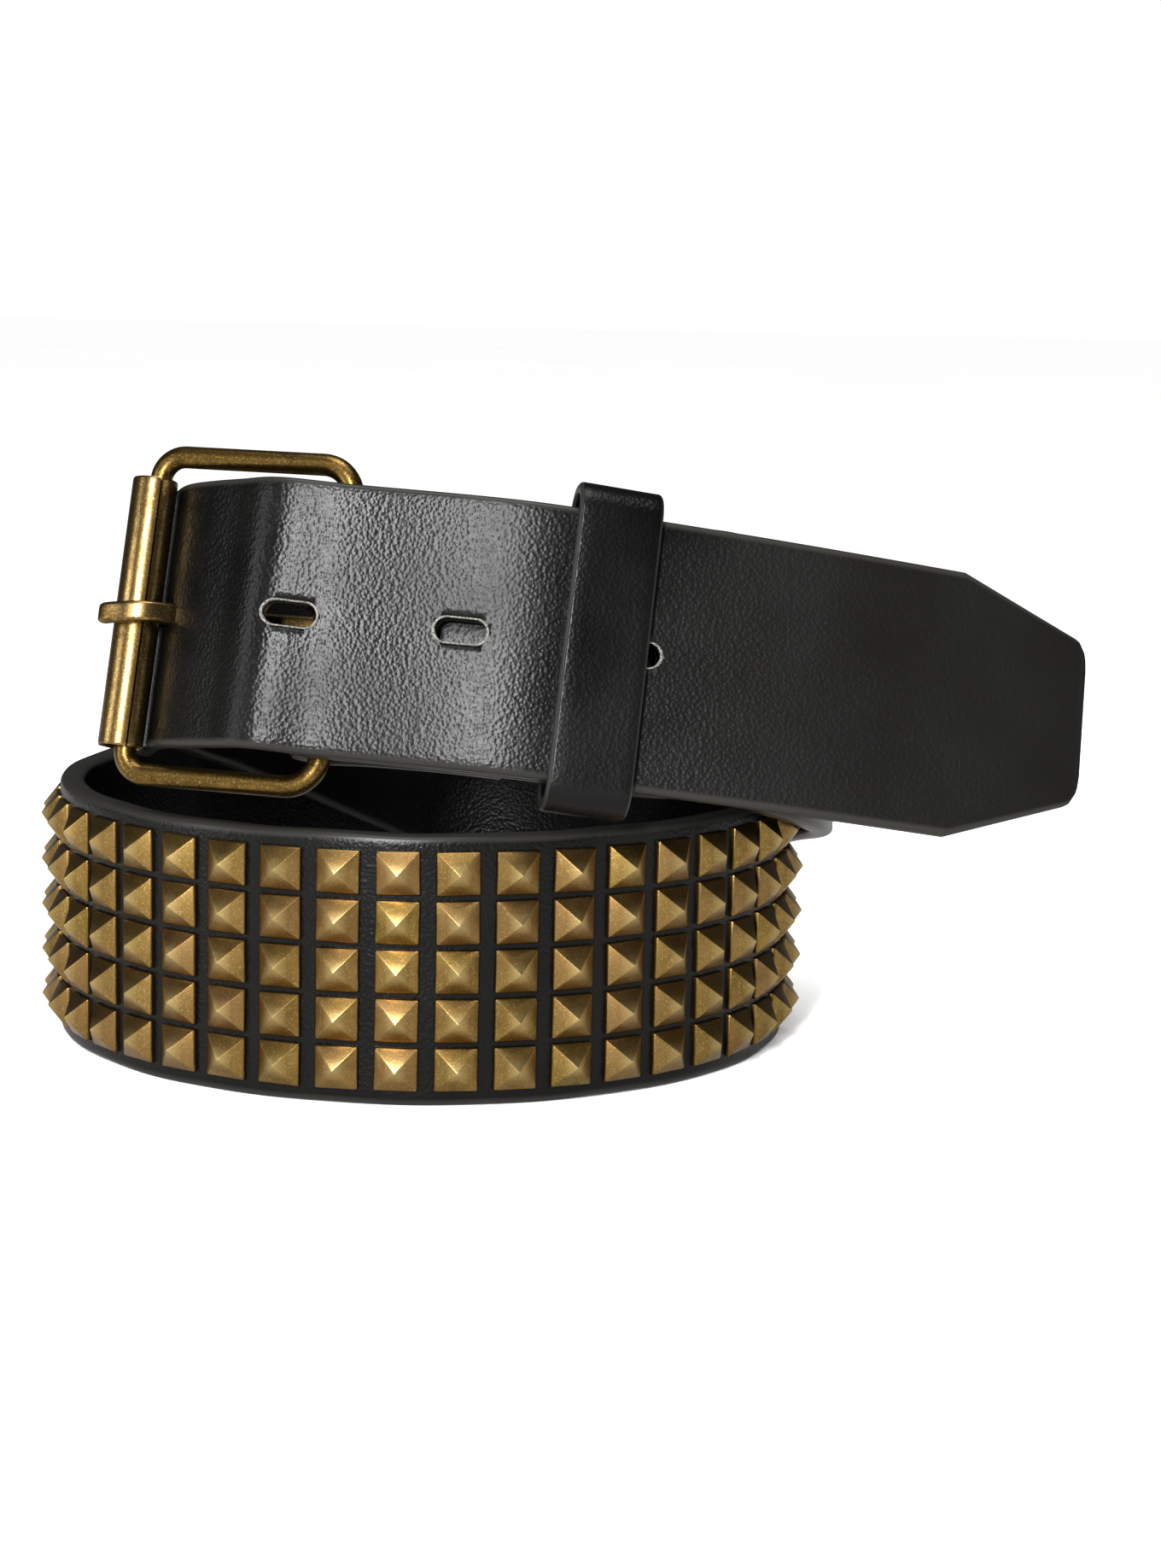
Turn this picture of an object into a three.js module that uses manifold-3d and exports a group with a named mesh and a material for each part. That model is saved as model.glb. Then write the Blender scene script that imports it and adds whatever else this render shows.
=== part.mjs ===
// A wide studded leather belt, fastened at its roller buckle and stood on its lower edge
// as a coil of two turns. Millimetres, +Z up, the buckle side looks along -Y, and the
// origin lies under the middle of the whole belt, on the surface that it stands on.

import * as THREE from 'three';
import { mergeVertices } from 'three/addons/utils/BufferGeometryUtils.js';
import Module from 'manifold-3d';

const wasm = await Module();
wasm.setup();

// Driving dimensions of the strap
const STRAP_WIDTH = 58;
const BODY_THICK = 5.5;
const END_THICK = 4;
const EDGE_BEVEL = 1.1;
const TIP_CLIP = 30;
const STATION_STEP = 8;
const BEND_STEP = 5;
const BEND_LENGTH = 90;

// Driving dimensions of the studs
const STUD_SIZE = 9.5;
const STUD_HEIGHT = 4.5;
const STUD_ROWS = 5;
const ROW_PITCH = 10.5;
const COLUMN_PITCH = 12.2;
const STUDS_FROM_BAR = 82;
const PLAIN_BEFORE_BAR = 112;

// Driving dimensions of the coil
const RING_RADIUS = 84.5;
const LAYER_GAP = 0.7;
const LEAN_BACK = 0.28;
const LEAN_RIGHT = 0.1;

// Driving dimensions of the holes for the prong
const SLOT_LENGTH = 11;
const SLOT_HEIGHT = 5;
const SLOT_PITCH = 36.5;
const SLOT_COUNT = 5;
const SLOT_FROM_TIP = 101.5;

// Driving dimensions of the buckle, the keeper and the tip
const FRAME_LENGTH = 45;
const FRAME_HEIGHT = 70;
const FRAME_TURN = 17;
const FRONT_TURN = 4;
const WIRE = 4.8;
const BAR_CORNER = 7.5;
const ROLLER_CORNER = 5.2;
const ROLLER_LENGTH = 59;
const ROLLER_RADIUS = 4.9;
const ROLLER_SHEET = 0.9;
const ROLLER_SEAM = 0.4;
const SEAM_TURN = 40;
const WIRE_SIDES = 10;
const PRONG_WIDTH = 4.6;
const PRONG_THICK = 3;
const PRONG_SHEET = 2.2;
const FLAP_LENGTH = 40;
const TIP_REACH = 160;
const KEEPER_FROM_BAR = 58;
const KEEPER_WIDTH = 18;
const KEEPER_THICK = 2.7;
const KEEPER_HEIGHT = 70;
const KEEPER_SLACK = 0.8;

// Distances between pieces that touch, and depths that make cuts and joins clean
const CLEARANCE = 0.3;
const SINK = 0.7;
const CUT_MARGIN = 3;

// Worked out from the sizes above
const HALF_WIDTH = STRAP_WIDTH / 2;
const RING_MIDDLE = RING_RADIUS - BODY_THICK / 2;
const LAYER_PITCH = BODY_THICK + STUD_HEIGHT + LAYER_GAP;
const END_PITCH = END_THICK + CLEARANCE;
const FOLD_RADIUS = WIRE / 2 + CLEARANCE + END_THICK / 2;
const BAR_PLACE = new THREE.Vector3(-0.195 * RING_MIDDLE, -0.77 * RING_MIDDLE, 1.705 * STRAP_WIDTH);

// The strap right of the keeper, where it leaves the front and turns back. out: how far it
// lies outside the ring, as a share of LAYER_PITCH. rise: height of its middle as a share of
// STRAP_WIDTH.
const SHOULDER = [
  { turn: 51, out: 0.3, rise: 1.57, lean: 0.9 },
  { turn: 69, out: 0.95, rise: 1.43, lean: 0.6 },
];

// The two layers of the coil behind the front, at angles counted from the front towards the
// right. inner: reach of the inner layer as a share of RING_MIDDLE. layers: how much further
// out the outer layer lies, as a share of LAYER_PITCH. innerRise and outerRise: heights of
// the middles as shares of STRAP_WIDTH.
const COIL = [
  { turn: 90, inner: 1.0, innerRise: 0.5, layers: 1.0, outerRise: 1.29 },
  { turn: 115, inner: 0.97, innerRise: 0.525, layers: 1.02, outerRise: 1.13 },
  { turn: 140, inner: 0.91, innerRise: 0.67, layers: 1.08, outerRise: 0.97 },
  { turn: 165, inner: 0.86, innerRise: 0.88, layers: 1.2, outerRise: 0.82 },
  { turn: 190, inner: 0.82, innerRise: 1.1, layers: 1.38, outerRise: 0.68 },
  { turn: 215, inner: 0.785, innerRise: 1.31, layers: 1.6, outerRise: 0.57 },
  { turn: 240, inner: 0.75, innerRise: 1.47, layers: 1.83, outerRise: 0.51 },
  { turn: 265, inner: 0.725, innerRise: 1.58, layers: 2.05, outerRise: 0.5 },
];
const RING_START = 290;
const RING_END = 450;
const RING_STEP = 20;

// Where the buckle end of the strap follows the free end, as shares of KEEPER_FROM_BAR
const BUCKLE_END = [0.18, 0.45, 0.75, 1.0, 1.2];

// The free end where it crosses the buckle, as shares of FRAME_LENGTH from the bar towards
// the roller and outwards from the bar.
const CROSSING = [
  { along: 1.067, out: -0.36 },
  { along: 0.946, out: -0.16 },
  { along: 0.822, out: 0.0 },
  { along: 0.658, out: 0.105 },
  { along: 0.475, out: 0.19 },
  { along: 0.275, out: 0.275 },
];

// The free end right of the bar, as shares of TIP_REACH along the buckle's front, and how far
// it has turned away from the viewer. lean: how far its upper edge lies back, as a share.
const FREE_END = [
  { along: 0.0, back: 0.0, lean: 0.9 },
  { along: 0.25, back: -0.01, lean: 0.95 },
  { along: 0.41, back: 0.029, lean: 1.05 },
  { along: 0.58, back: 0.074, lean: 1.2 },
  { along: 0.78, back: 0.142, lean: 1.3 },
  { along: 1.0, back: 0.225, lean: 1.4 },
];

// The flap folded behind the bar, as shares of FLAP_LENGTH from the bar. spread: how much of
// the fold's opening is left there between the flap and the strap.
const FLAP = [
  { along: 1.0, spread: 0.0 },
  { along: 0.7, spread: 0.0 },
  { along: 0.45, spread: 0.25 },
  { along: 0.2, spread: 0.8 },
];

// The clipped tip with its rounded corners. back: distance from the end as a share of
// TIP_CLIP. half: half the strap's height there as a share of half its width.
const TIP_OUTLINE = [
  { back: 1.0, half: 1.0 },
  { back: 0.075, half: 0.635 },
  { back: 0.022, half: 0.54 },
  { back: 0.0, half: 0.43 },
];

// The prong from its loop on the bar to its bent tip, as shares of FRAME_LENGTH from the bar
// towards the roller. out: its height over the bar as a share of the height at the roller.
// up: how far it hangs to one side, as a share of its width.
const PRONG_LINE = [
  { along: 0.14, out: -0.43, up: 0 },
  { along: 0.27, out: -0.43, up: 0 },
  { along: 0.53, out: -0.43, up: 0 },
  { along: 0.667, out: -0.43, up: 0 },
  { along: 0.74, out: -0.37, up: 0 },
  { along: 0.787, out: -0.19, up: 0 },
  { along: 0.819, out: 0.02, up: 0 },
  { along: 0.851, out: 0.24, up: 0 },
  { along: 0.893, out: 0.6, up: -0.04 },
  { along: 0.944, out: 0.88, up: -0.1 },
  { along: 1.0, out: 0.985, up: -0.17 },
  { along: 1.03, out: 1.0, up: -0.21 },
  { along: 1.085, out: 0.97, up: -0.26 },
  { along: 1.13, out: 0.88, up: -0.3 },
  { along: 1.165, out: 0.74, up: -0.33 },
];

const degrees = THREE.MathUtils.degToRad;

// The direction of the strap's upper edge where it leans by a share of the upper turn's lean
const leaning = (share) => new THREE.Vector3(LEAN_RIGHT * share, LEAN_BACK * share, 1).normalize();

// Two panels stand on the leaning plane of the upper turn: the buckle and the strap's front
function panel(turn) {
  const up = leaning(1);
  const right = new THREE.Vector3(Math.cos(degrees(turn)), -Math.sin(degrees(turn)), 0);
  right.addScaledVector(up, -right.dot(up)).normalize();
  return { right, up, out: new THREE.Vector3().crossVectors(right, up) };
}
const buckle = panel(FRAME_TURN);
const front = panel(FRONT_TURN);

// A point of a panel, measured from the middle of the buckle's bar
const onPanel = (sides, right, out, up = 0) => BAR_PLACE.clone()
  .addScaledVector(sides.right, right)
  .addScaledVector(sides.out, out)
  .addScaledVector(sides.up, up);

// A point of the coil at an angle from the front, a reach from its middle and a height
const onRing = (turn, reach, height) => new THREE.Vector3(
  Math.sin(degrees(turn)) * reach,
  -Math.cos(degrees(turn)) * reach,
  height,
);

// A strap line is a smooth curve through its rows, each a place and a share of the lean
class StrapLine {
  constructor(rows) {
    this.places = new THREE.CatmullRomCurve3(rows.map((row) => row.at));
    this.rows = rows.length;
    this.places.arcLengthDivisions = (rows.length - 1) * 40;
    this.leans = new THREE.CatmullRomCurve3(
      rows.map((row) => new THREE.Vector3(row.lean, 0, 0)), false, 'catmullrom');
    this.length = this.places.getLength();
  }

  // Distance along the strap of one of its rows
  distanceOf(row) {
    const lengths = this.places.getLengths();
    return lengths[row * (lengths.length - 1) / (this.rows - 1)];
  }

  // Place and directions at a distance along the strap
  frame(distance) {
    const t = this.places.getUtoTmapping(distance / this.length);
    const tangent = this.places.getTangent(t);
    const up = leaning(this.leans.getPoint(t).x);
    up.addScaledVector(tangent, -up.dot(tangent)).normalize();
    const out = new THREE.Vector3().crossVectors(tangent, up);
    return { at: this.places.getPoint(t), tangent, up, out };
  }
}

// An extrusion path that hands over frames that are already worked out
class FramePath extends THREE.Curve {
  constructor(frames) {
    super();
    this.frames = frames;
  }

  getSpacedPoints() {
    return this.frames.map((frame) => frame.at);
  }

  computeFrenetFrames() {
    return {
      tangents: this.frames.map((frame) => frame.tangent),
      normals: this.frames.map((frame) => frame.out.clone().multiplyScalar(-(frame.thick ?? 1))),
      binormals: this.frames.map((frame) => frame.up.clone().multiplyScalar(frame.tall ?? 1)),
    };
  }
}

const sweep = (shape, frames) => new THREE.ExtrudeGeometry(shape, {
  steps: frames.length - 1,
  curveSegments: 4,
  extrudePath: new FramePath(frames),
});

// A closed outline through a list of points
const outline = (points) => new THREE.Shape(points.map(([x, y]) => new THREE.Vector2(x, y)));

// A rectangle with bevelled corners
function bevelled(width, height, bevel) {
  const x = width / 2;
  const y = height / 2;
  return outline([
    [-x, -y + bevel], [-x + bevel, -y], [x - bevel, -y], [x, -y + bevel],
    [x, y - bevel], [x - bevel, y], [-x + bevel, y], [-x, y - bevel],
  ]);
}

// A rectangle with round corners, as a shape or as a hole in one
function rounded(width, height, radius, target = new THREE.Shape()) {
  const x = width / 2 - radius;
  const y = height / 2 - radius;
  target.absarc(x, y, radius, 0, Math.PI / 2);
  target.absarc(-x, y, radius, Math.PI / 2, Math.PI);
  target.absarc(-x, -y, radius, Math.PI, 1.5 * Math.PI);
  target.absarc(x, -y, radius, 1.5 * Math.PI, 2 * Math.PI);
  target.closePath();
  return target;
}

// Corners of a regular polygon around the origin
function polygon(sides, radius) {
  const corner = (i) => 2 * Math.PI * (i + 0.5) / sides;
  return Array.from({ length: sides }, (_, i) => [
    radius * Math.cos(corner(i)), radius * Math.sin(corner(i)),
  ]);
}

// Closed geometry to a solid for joining and cutting, and back again
function toSolid(geometry) {
  const plain = geometry.index ? geometry.toNonIndexed() : geometry.clone();
  plain.deleteAttribute('normal');
  plain.deleteAttribute('uv');
  const merged = mergeVertices(plain, 1e-4);
  const corners = merged.index.array;
  const kept = [];
  for (let i = 0; i < corners.length; i += 3) {
    const [a, b, c] = corners.slice(i, i + 3);
    if (a !== b && b !== c && c !== a) kept.push(a, b, c);
  }
  return new wasm.Manifold(new wasm.Mesh({
    numProp: 3,
    vertProperties: new Float32Array(merged.attributes.position.array),
    triVerts: new Uint32Array(kept),
  }));
}

function toGeometry(solid) {
  const mesh = solid.getMesh();
  const geometry = new THREE.BufferGeometry();
  geometry.setAttribute('position', new THREE.BufferAttribute(new Float32Array(mesh.vertProperties), 3));
  geometry.setIndex(new THREE.BufferAttribute(new Uint32Array(mesh.triVerts), 1));
  return geometry;
}

// Turns geometry from its own axes to a frame: X to the right along it, Y up and Z outwards
function place(geometry, frame, forward = 0, up = 0) {
  const axes = new THREE.Matrix4().makeBasis(frame.tangent, frame.up, frame.out);
  const at = frame.at.clone().addScaledVector(frame.out, forward).addScaledVector(frame.up, up);
  return geometry.applyMatrix4(axes).translate(at.x, at.y, at.z);
}

// The rows of the free end's middle surface, from behind the roller to the tip
function freeEndRows() {
  const frontOfBar = FOLD_RADIUS + END_PITCH;
  const rows = CROSSING.map((row) => ({
    at: onPanel(buckle, -row.along * FRAME_LENGTH, row.out * FRAME_LENGTH),
    lean: 1,
  }));
  FREE_END.forEach((row) => rows.push({
    at: onPanel(front, row.along * TIP_REACH, frontOfBar - row.back * TIP_REACH),
    lean: row.lean,
  }));
  return rows;
}

// The rows of the whole strap's middle surface, from the flap folded behind the bar to the tip
function strapRows(freeEnd) {
  const fromBar = (distance, behind) => {
    const frame = freeEnd.frame(freeEnd.barDistance + distance);
    return { at: frame.at.addScaledVector(frame.out, -behind), lean: 1 };
  };
  const rows = FLAP.map((row) => {
    const opening = row.spread * (2 * FOLD_RADIUS - END_PITCH);
    return fromBar(row.along * FLAP_LENGTH, 2 * END_PITCH + opening);
  });
  for (let turn = 180; turn >= 0; turn -= 45) {
    const right = -FOLD_RADIUS * Math.sin(degrees(turn));
    rows.push({ at: onPanel(front, right, FOLD_RADIUS * Math.cos(degrees(turn))), lean: 1 });
  }
  BUCKLE_END.forEach((along) => rows.push(fromBar(along * KEEPER_FROM_BAR, END_PITCH)));
  SHOULDER.forEach((row) => rows.push({
    at: onRing(row.turn, RING_MIDDLE + row.out * LAYER_PITCH, row.rise * STRAP_WIDTH),
    lean: row.lean,
  }));
  COIL.forEach((row) => rows.push({
    at: onRing(row.turn, RING_MIDDLE * row.inner + LAYER_PITCH * row.layers, row.outerRise * STRAP_WIDTH),
    lean: 0,
  }));
  for (let turn = RING_START; turn <= RING_END; turn += RING_STEP) {
    rows.push({ at: onRing(turn, RING_MIDDLE, HALF_WIDTH), lean: 0 });
  }
  COIL.slice(1).forEach((row) => rows.push({
    at: onRing(row.turn, RING_MIDDLE * row.inner, row.innerRise * STRAP_WIDTH),
    lean: (row.innerRise - 0.5) / (COIL.at(-1).innerRise - 0.5),
  }));
  return rows.concat(freeEndRows());
}

const freeEnd = new StrapLine(freeEndRows());
freeEnd.barDistance = freeEnd.distanceOf(CROSSING.length);
const strap = new StrapLine(strapRows(freeEnd));
const tipDistance = strap.length;
const barDistance = strap.distanceOf(strap.rows - FREE_END.length);
const foldEnd = strap.distanceOf(FLAP.length + 4);
const studStart = foldEnd + STUDS_FROM_BAR;
const studColumns = Math.floor((barDistance - PLAIN_BEFORE_BAR - studStart) / COLUMN_PITCH);
const studEnd = studStart + studColumns * COLUMN_PITCH;

// Distances from one to the next, in even steps and without the last one
function steps(from, to, step) {
  const count = Math.max(1, Math.round((to - from) / step));
  return Array.from({ length: count }, (_, i) => from + (to - from) * i / count);
}

// Frames of the strap's sections, close together in the bends and one at each stud column
function strapFrames() {
  const bend = barDistance - BEND_LENGTH;
  const distances = [
    ...steps(0, foldEnd - 4 * FOLD_RADIUS, STATION_STEP),
    ...steps(foldEnd - 4 * FOLD_RADIUS, foldEnd + FOLD_RADIUS, BEND_STEP / 2),
    ...steps(foldEnd + FOLD_RADIUS, studStart - STATION_STEP, STATION_STEP),
    studStart - STATION_STEP,
    ...steps(studStart, studEnd, COLUMN_PITCH),
    studEnd,
    ...steps(studEnd + STATION_STEP, bend, STATION_STEP),
    ...steps(bend, barDistance, BEND_STEP),
    ...steps(barDistance, tipDistance - TIP_CLIP, STATION_STEP),
  ];
  const frames = distances.map((distance) => {
    const studded = distance > studStart - 1 && distance < studEnd + 1;
    return { ...strap.frame(distance), thick: studded ? BODY_THICK / END_THICK : 1 };
  });
  TIP_OUTLINE.forEach((row) => {
    frames.push({ ...strap.frame(tipDistance - row.back * TIP_CLIP), tall: row.half });
  });
  return frames;
}

// One pyramid stud, standing on Z with its foot sunk in
function studGeometry() {
  const corner = STUD_SIZE / Math.SQRT2;
  const foot = corner * (1 + SINK / STUD_HEIGHT);
  const points = [new THREE.Vector2(0, -SINK), new THREE.Vector2(foot, -SINK), new THREE.Vector2(0, STUD_HEIGHT)];
  return new THREE.LatheGeometry(points, 4, Math.PI / 4).rotateX(Math.PI / 2);
}

// All studs, five to a column, on the outer face of the strap
function studs() {
  const solids = [];
  for (let column = 0; column < studColumns; column += 1) {
    const frame = strap.frame(studStart + (column + 0.5) * COLUMN_PITCH);
    for (let row = 0; row < STUD_ROWS; row += 1) {
      const up = (row - (STUD_ROWS - 1) / 2) * ROW_PITCH;
      solids.push(toSolid(place(studGeometry(), frame, BODY_THICK / 2, up)));
    }
  }
  return wasm.Manifold.union(solids);
}

// Cutter for one oval hole through the free end
function slotCutter(index) {
  const shape = rounded(SLOT_LENGTH, SLOT_HEIGHT, SLOT_HEIGHT / 2 - 0.01);
  const depth = END_THICK + 2 * CUT_MARGIN;
  const cutter = new THREE.ExtrudeGeometry(shape, { depth, bevelEnabled: false, curveSegments: 3 });
  const frame = strap.frame(tipDistance - SLOT_FROM_TIP - index * SLOT_PITCH);
  return toSolid(place(cutter.translate(0, 0, -depth / 2), frame));
}

// Cutter for the opening in the fold that the prong's loop turns in
function foldCutter() {
  const reach = 2 * (FOLD_RADIUS + END_THICK);
  const box = new THREE.BoxGeometry(reach + PRONG_WIDTH, PRONG_WIDTH + 4 * CLEARANCE, reach);
  return toSolid(place(box, { at: BAR_PLACE, tangent: front.right, up: front.up, out: front.out }));
}

// The whole strap with its studs and holes
function studdedStrap() {
  const section = bevelled(END_THICK, STRAP_WIDTH, EDGE_BEVEL);
  let solid = toSolid(sweep(section, strapFrames())).add(studs());
  for (let index = 0; index < SLOT_COUNT; index += 1) {
    solid = solid.subtract(slotCutter(index));
  }
  return toGeometry(solid.subtract(foldCutter()));
}

// The leather loop that holds the free end on the strap
function keeperLoop() {
  const inside = 2 * END_THICK + 3 * CLEARANCE + KEEPER_SLACK;
  const outside = inside + 2 * KEEPER_THICK;
  const shape = rounded(outside, KEEPER_HEIGHT, outside * 0.45);
  shape.holes.push(rounded(inside, KEEPER_HEIGHT - 2 * KEEPER_THICK, inside * 0.35, new THREE.Path()));
  const frames = [-0.5, 0, 0.5].map((share) => {
    const frame = strap.frame(barDistance + KEEPER_FROM_BAR + share * KEEPER_WIDTH);
    frame.at.addScaledVector(frame.out, -(END_PITCH + KEEPER_SLACK) / 2);
    return frame;
  });
  return sweep(shape, frames);
}

// Frames along a line of points in the buckle's panel, square to a fixed side
function rodFrames(points, side) {
  return points.map((at, i) => {
    const before = points[Math.max(0, i - 1)];
    const after = points[Math.min(points.length - 1, i + 1)];
    const tangent = after.clone().sub(before).normalize();
    return { at, tangent, side, up: side };
  });
}

// One half of the frame's wire, from the middle of the bar to the middle of the roller's side
function halfWire(sign) {
  const half = FRAME_HEIGHT / 2;
  const corner = (right, radius, from) => Array.from({ length: 6 }, (_, i) => {
    const angle = degrees(from + 18 * i);
    return [right + radius * Math.cos(angle), half - radius + radius * Math.sin(angle)];
  });
  const line = [
    [0, -SINK],
    ...corner(-BAR_CORNER, BAR_CORNER, 0),
    ...corner(ROLLER_CORNER - FRAME_LENGTH, ROLLER_CORNER, 90),
    [-FRAME_LENGTH, -SINK],
  ];
  const points = line.map(([right, up]) => onPanel(buckle, right, 0, sign * up));
  const frames = rodFrames(points, buckle.out).map((frame) => ({
    ...frame,
    out: buckle.out,
    up: new THREE.Vector3().crossVectors(buckle.out, frame.tangent),
  }));
  return toSolid(sweep(outline(polygon(WIRE_SIDES, WIRE / 2)), frames));
}

const buckleFrame = () => toGeometry(halfWire(1).add(halfWire(-1)));

// The roller, a sheet rolled round the frame's wire with an open seam
function roller() {
  const inner = ROLLER_RADIUS - ROLLER_SHEET;
  const slack = inner - WIRE / 2 - CLEARANCE;
  const seam = ROLLER_SEAM / ROLLER_RADIUS / 2;
  const shape = new THREE.Shape();
  shape.absarc(0, 0, ROLLER_RADIUS, seam, 2 * Math.PI - seam);
  shape.absarc(0, 0, inner, 2 * Math.PI - seam, seam, true);
  shape.closePath();
  const towards = buckle.out.clone().applyAxisAngle(buckle.up, degrees(SEAM_TURN));
  const frames = [-0.5, 0.5].map((share) => ({
    at: onPanel(buckle, -FRAME_LENGTH - slack, 0, share * ROLLER_LENGTH),
    tangent: buckle.up,
    out: towards.clone().negate(),
    up: new THREE.Vector3().crossVectors(buckle.up, towards),
  }));
  return new THREE.ExtrudeGeometry(shape, {
    steps: 1,
    curveSegments: 16,
    extrudePath: new FramePath(frames),
  });
}

// The prong, bent round the bar as a loop, through the free end and over the roller
function prong() {
  const loop = WIRE / 2 + CLEARANCE + PRONG_SHEET / 2;
  const overRoller = ROLLER_RADIUS + CLEARANCE + PRONG_THICK / 2;
  const points = [];
  for (let turn = -70; turn <= 215; turn += 28.5) {
    points.push(onPanel(buckle, loop * Math.sin(degrees(turn)), loop * Math.cos(degrees(turn))));
  }
  PRONG_LINE.forEach((row) => {
    points.push(onPanel(buckle, -row.along * FRAME_LENGTH, row.out * overRoller, row.up * PRONG_WIDTH));
  });
  const frames = rodFrames(points, buckle.up).map((frame, i) => ({
    ...frame,
    out: new THREE.Vector3().crossVectors(frame.tangent, buckle.up),
    thick: i > 10 ? PRONG_THICK / PRONG_SHEET : 1,
  }));
  return sweep(bevelled(PRONG_SHEET, PRONG_WIDTH, PRONG_SHEET * 0.35), frames);
}

// Finishes: bonded leather with painted edges, and brass plate darkened with age
const leather = () => new THREE.MeshStandardMaterial({ color: 0x1b1a18, roughness: 0.45, metalness: 0 });
const brass = () => new THREE.MeshStandardMaterial({ color: 0x8f7440, roughness: 0.35, metalness: 1 });

function named(name, geometry, material) {
  const mesh = new THREE.Mesh(geometry, material);
  mesh.name = name;
  return mesh;
}

const belt = new THREE.Group();
belt.add(named('studded_strap', studdedStrap(), leather()));
belt.add(named('keeper_loop', keeperLoop(), leather()));
belt.add(named('buckle_frame', buckleFrame(), brass()));
belt.add(named('roller', roller(), brass()));
belt.add(named('prong', prong(), brass()));

const box = new THREE.Box3().setFromObject(belt);
const middle = box.getCenter(new THREE.Vector3());
belt.position.set(-middle.x, -middle.y, -box.min.z);
belt.updateMatrixWorld(true);

export default belt;
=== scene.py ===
# %% [markdown]
# # Studded belt
#
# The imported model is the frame: a coil of black bonded leather that stands on its edge,
# closed at a roller buckle, with its clipped free end held by a keeper. This script dresses
# it. It follows the same line of rows and shares as the solids do, so each piece lies where
# they are. Lengths are in millimetres until a mesh is made, and in metres there.

# %% Load the frame
import math

import bmesh
import bpy
import numpy as np
from mathutils import Matrix, Vector


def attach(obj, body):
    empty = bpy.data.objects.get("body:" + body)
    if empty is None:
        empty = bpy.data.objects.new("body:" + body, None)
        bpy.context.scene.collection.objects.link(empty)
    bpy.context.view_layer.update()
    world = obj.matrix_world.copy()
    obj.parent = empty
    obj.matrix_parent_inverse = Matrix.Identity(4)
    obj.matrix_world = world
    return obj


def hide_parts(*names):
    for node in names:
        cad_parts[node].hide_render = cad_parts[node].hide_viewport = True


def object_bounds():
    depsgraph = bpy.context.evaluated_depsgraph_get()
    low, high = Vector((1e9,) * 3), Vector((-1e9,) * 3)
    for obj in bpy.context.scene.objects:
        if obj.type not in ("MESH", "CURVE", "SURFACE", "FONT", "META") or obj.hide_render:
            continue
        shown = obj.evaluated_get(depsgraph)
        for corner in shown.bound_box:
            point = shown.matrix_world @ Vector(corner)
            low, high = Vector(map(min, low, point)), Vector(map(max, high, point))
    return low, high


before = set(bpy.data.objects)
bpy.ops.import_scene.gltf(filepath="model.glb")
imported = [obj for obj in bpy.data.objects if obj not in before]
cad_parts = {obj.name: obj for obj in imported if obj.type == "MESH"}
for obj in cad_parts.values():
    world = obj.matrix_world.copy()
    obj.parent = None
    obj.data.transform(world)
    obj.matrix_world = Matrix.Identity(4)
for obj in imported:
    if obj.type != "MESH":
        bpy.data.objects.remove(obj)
cad_low, cad_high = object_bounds()
print("CAD nodes:", sorted(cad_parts))

# %% [markdown]
# ## Sizes
#
# These are the sizes of the solids. The middle of the coil's lower ring lies at RING_AT in
# the row frame.

# %% Sizes of the strap, the studs, the holes and the buckle
RING_AT = np.array([-28.95, -0.29, 0.08])
STRAP_WIDTH, BODY_THICK, END_THICK = 58.0, 5.5, 4.0
EDGE_ROUND, TIP_CLIP = 1.25, 30.0
STUD_SIZE, STUD_HEIGHT, STUD_ROWS = 9.5, 4.5, 5
ROW_PITCH, COLUMN_PITCH = 10.5, 12.2
STUDS_FROM_BAR, PLAIN_BEFORE_BAR = 82.0, 112.0
RING_RADIUS, LAYER_GAP = 84.5, 0.7
LEAN_BACK, LEAN_RIGHT = 0.28, 0.1
SLOT_LENGTH, SLOT_HEIGHT, SLOT_PITCH, SLOT_COUNT, SLOT_FROM_TIP = 11.0, 5.0, 36.5, 5, 101.5
FRAME_LENGTH, FRAME_HEIGHT, FRAME_TURN, FRONT_TURN = 45.0, 70.0, 17.0, 4.0
WIRE, BAR_CORNER, ROLLER_CORNER = 4.8, 7.5, 5.2
ROLLER_LENGTH, ROLLER_RADIUS, ROLLER_SHEET, ROLLER_SEAM, SEAM_TURN = 59.0, 4.9, 0.9, 0.4, 40.0
PRONG_WIDTH, PRONG_THICK, PRONG_SHEET = 4.6, 3.0, 2.2
FLAP_LENGTH, TIP_REACH = 40.0, 160.0
KEEPER_FROM_BAR, KEEPER_WIDTH, KEEPER_THICK = 58.0, 18.0, 2.7
KEEPER_HEIGHT, KEEPER_SLACK, CLEARANCE = 70.0, 0.8, 0.3
# Where the paint of the edges starts and is full, from the middle of the strap
PAINT_FROM, PAINT_FULL = 27.2, 28.1
# Where the rougher tip, also painted a lighter warm grey as painted light, starts and is full, past the
# bar
DULL_TIP_PAINTED_LIGHT_FROM, DULL_TIP_PAINTED_LIGHT_FULL = 62.0, 85.0
STUD_TAPER, CUTTER_REACH, RIM_GROWTH, RIMMED_HOLES = 8.0, 5.0, 0.5, 3

HALF_WIDTH = STRAP_WIDTH / 2
RING_MIDDLE = RING_RADIUS - BODY_THICK / 2
LAYER_PITCH = BODY_THICK + STUD_HEIGHT + LAYER_GAP
END_PITCH = END_THICK + CLEARANCE
FOLD_RADIUS = WIRE / 2 + CLEARANCE + END_THICK / 2
BAR_PLACE = np.array([-0.195 * RING_MIDDLE, -0.77 * RING_MIDDLE, 1.705 * STRAP_WIDTH])

# %% Rows of the strap's line, as shares of the sizes
# turn, share of a layer further out, height, lean
SHOULDER = [(51, 0.3, 1.57, 0.9), (69, 0.95, 1.43, 0.6)]
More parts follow.
